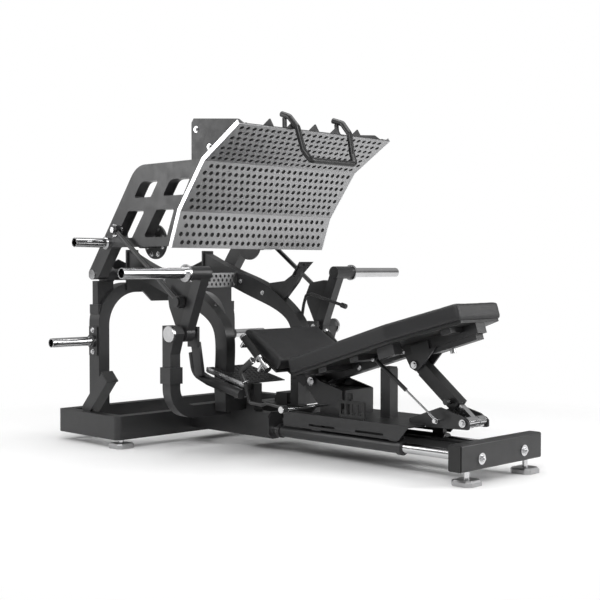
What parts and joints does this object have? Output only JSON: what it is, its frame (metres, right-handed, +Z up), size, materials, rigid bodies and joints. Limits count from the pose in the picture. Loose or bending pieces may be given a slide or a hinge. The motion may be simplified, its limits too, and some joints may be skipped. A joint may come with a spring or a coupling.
{
  "type": "leg press machine",
  "caption": "Plate-loaded leg press: a swinging perforated foot plate over a sliding padded seat with a tilting back rest.",
  "frame": {"origin": "on the floor, under the centre of the machine's box", "axes": "+X towards the head end of the back rest, +Z up, +Y to the machine's right side"},
  "size_m": [2.32, 1.866, 1.6153],
  "materials": {
    "frame_black": "satin textured powder coat",
    "chrome": "polished",
    "brushed_plate": "brushed",
    "aluminium": "cast, brushed",
    "plastic": "moulded",
    "vinyl": "grained upholstery vinyl",
    "rubber": "ribbed grip"
  },
  "bodies": {
    "base": {"rear_base_ring": "frame_black", "centre_base": "frame_black", "centre_rail": "frame_black", "front_crossmember": "frame_black", "levelling_feet": "aluminium", "guide_rods": "chrome", "base_fasteners": "chrome", "base_caps": "plastic", "rear_arch": "frame_black", "swing_bearing_stands": "frame_black", "arch_plates": "frame_black", "lower_storage_pegs": "chrome", "left_main_beam": "frame_black", "right_main_beam": "frame_black", "cross_step": "brushed_plate", "stop_fork": "frame_black", "left_upright": "frame_black", "right_upright": "frame_black", "upright_brackets": "frame_black", "lever_shafts": "chrome", "tread_plates": "frame_black", "tread_edge_trims": "brushed_plate", "tread_carriers": "frame_black", "bar_holder": "frame_black"},
    "press_arm": {"left_press_arm": "frame_black", "right_press_arm": "frame_black", "swing_shaft": "frame_black", "foot_plate": "brushed_plate", "foot_plate_backing": "plastic", "foot_plate_edges": "brushed_plate", "plate_frame": "frame_black", "plate_wings": "frame_black", "top_handle": "frame_black", "upper_storage_pegs": "chrome", "press_arm_fittings": "chrome"},
    "left_weight_lever": {"left_lever": "frame_black", "left_weight_sleeve": "chrome"},
    "right_weight_lever": {"right_lever": "frame_black", "right_weight_sleeve": "chrome"},
    "left_link_rod": {"left_link": "frame_black"},
    "right_link_rod": {"right_link": "frame_black"},
    "carriage": {"bearing_tubes": "frame_black", "carriage_skirts": "frame_black", "carriage_deck": "frame_black", "seat_frame": "frame_black", "seat_board": "plastic", "seat_pad": "vinyl", "seat_grips": "rubber", "seat_lock": "plastic", "carriage_hardware": "chrome"},
    "seat_release": {"release_lever": "frame_black"},
    "stop_handle_body": {"stop_handle": "frame_black"},
    "back_rest": {"back_pad": "vinyl", "back_board": "plastic", "back_frame": "frame_black", "back_hardware": "chrome"},
    "prop_inner": {"prop_bar": "chrome"},
    "prop_outer": {"prop_tube": "frame_black"},
    "gas_inner": {"gas_rod": "chrome"},
    "gas_outer": {"gas_cylinder": "frame_black"}
  },
  "joints": [
    {"name": "plate_swing", "type": "hinge", "parent": "base", "child": "press_arm", "pos_m": [-1.09, 0, 0.845], "axis": [0, 1, 0], "range_deg": [-3, 11]},
    {"name": "left_lever_swing", "type": "hinge", "parent": "base", "child": "left_weight_lever", "pos_m": [-0.353, -0.465, 0.568], "axis": [0, 1, 0], "range_deg": [-7, 28]},
    {"name": "right_lever_swing", "type": "hinge", "parent": "base", "child": "right_weight_lever", "pos_m": [-0.353, 0.465, 0.568], "axis": [0, 1, 0], "range_deg": [-7, 28]},
    {"name": "left_link_swing", "type": "hinge", "parent": "press_arm", "child": "left_link_rod", "pos_m": [-0.851, -0.508, 1.07], "axis": [0, 1, 0], "range_deg": [-17, 4.5]},
    {"name": "right_link_swing", "type": "hinge", "parent": "press_arm", "child": "right_link_rod", "pos_m": [-0.851, 0.508, 1.07], "axis": [0, 1, 0], "range_deg": [-17, 4.5]},
    {"name": "carriage_slide", "type": "slide", "parent": "base", "child": "carriage", "axis": [1, 0, 0], "range_m": [0, 0.18]},
    {"name": "back_tilt", "type": "hinge", "parent": "carriage", "child": "back_rest", "pos_m": [0.141, 0, 0.348], "axis": [0, -1, 0], "range_deg": [0, 8]},
    {"name": "prop_swing", "type": "hinge", "parent": "carriage", "child": "prop_inner", "pos_m": [0.99, 0, 0.226], "axis": [0, 1, 0], "range_deg": [0, 6.8]},
    {"name": "prop_extend", "type": "slide", "parent": "prop_inner", "child": "prop_outer", "axis": [-0.7819, 0, 0.6234], "range_m": [0, 0.067]},
    {"name": "gas_swing", "type": "hinge", "parent": "carriage", "child": "gas_inner", "pos_m": [0.884, -0.118, 0.232], "axis": [0, 1, 0], "range_deg": [0, 4.5]},
    {"name": "gas_extend", "type": "slide", "parent": "gas_inner", "child": "gas_outer", "axis": [-0.8179, 0, 0.5754], "range_m": [0, 0.052]},
    {"name": "seat_release_pull", "type": "hinge", "parent": "carriage", "child": "seat_release", "pos_m": [0.232, -0.385, 0.247], "axis": [0, 1, 0], "range_deg": [0, 15]},
    {"name": "stop_handle_turn", "type": "hinge", "parent": "base", "child": "stop_handle_body", "pos_m": [-0.335, 0.299, 0.615], "axis": [0, -1, 0], "range_deg": [0, 25]}
  ],
  "couplings": [
    {"joint": "left_lever_swing", "follows": "plate_swing", "ratio": 2.28},
    {"joint": "right_lever_swing", "follows": "plate_swing", "ratio": 2.28},
    {"joint": "left_link_swing", "follows": "plate_swing", "ratio": -1.38},
    {"joint": "right_link_swing", "follows": "plate_swing", "ratio": -1.38},
    {"joint": "prop_swing", "follows": "back_tilt", "ratio": 0.824},
    {"joint": "prop_extend", "follows": "back_tilt", "m_per_rad": 0.4695},
    {"joint": "gas_swing", "follows": "back_tilt", "ratio": 0.509},
    {"joint": "gas_extend", "follows": "back_tilt", "m_per_rad": 0.357}
  ]
}
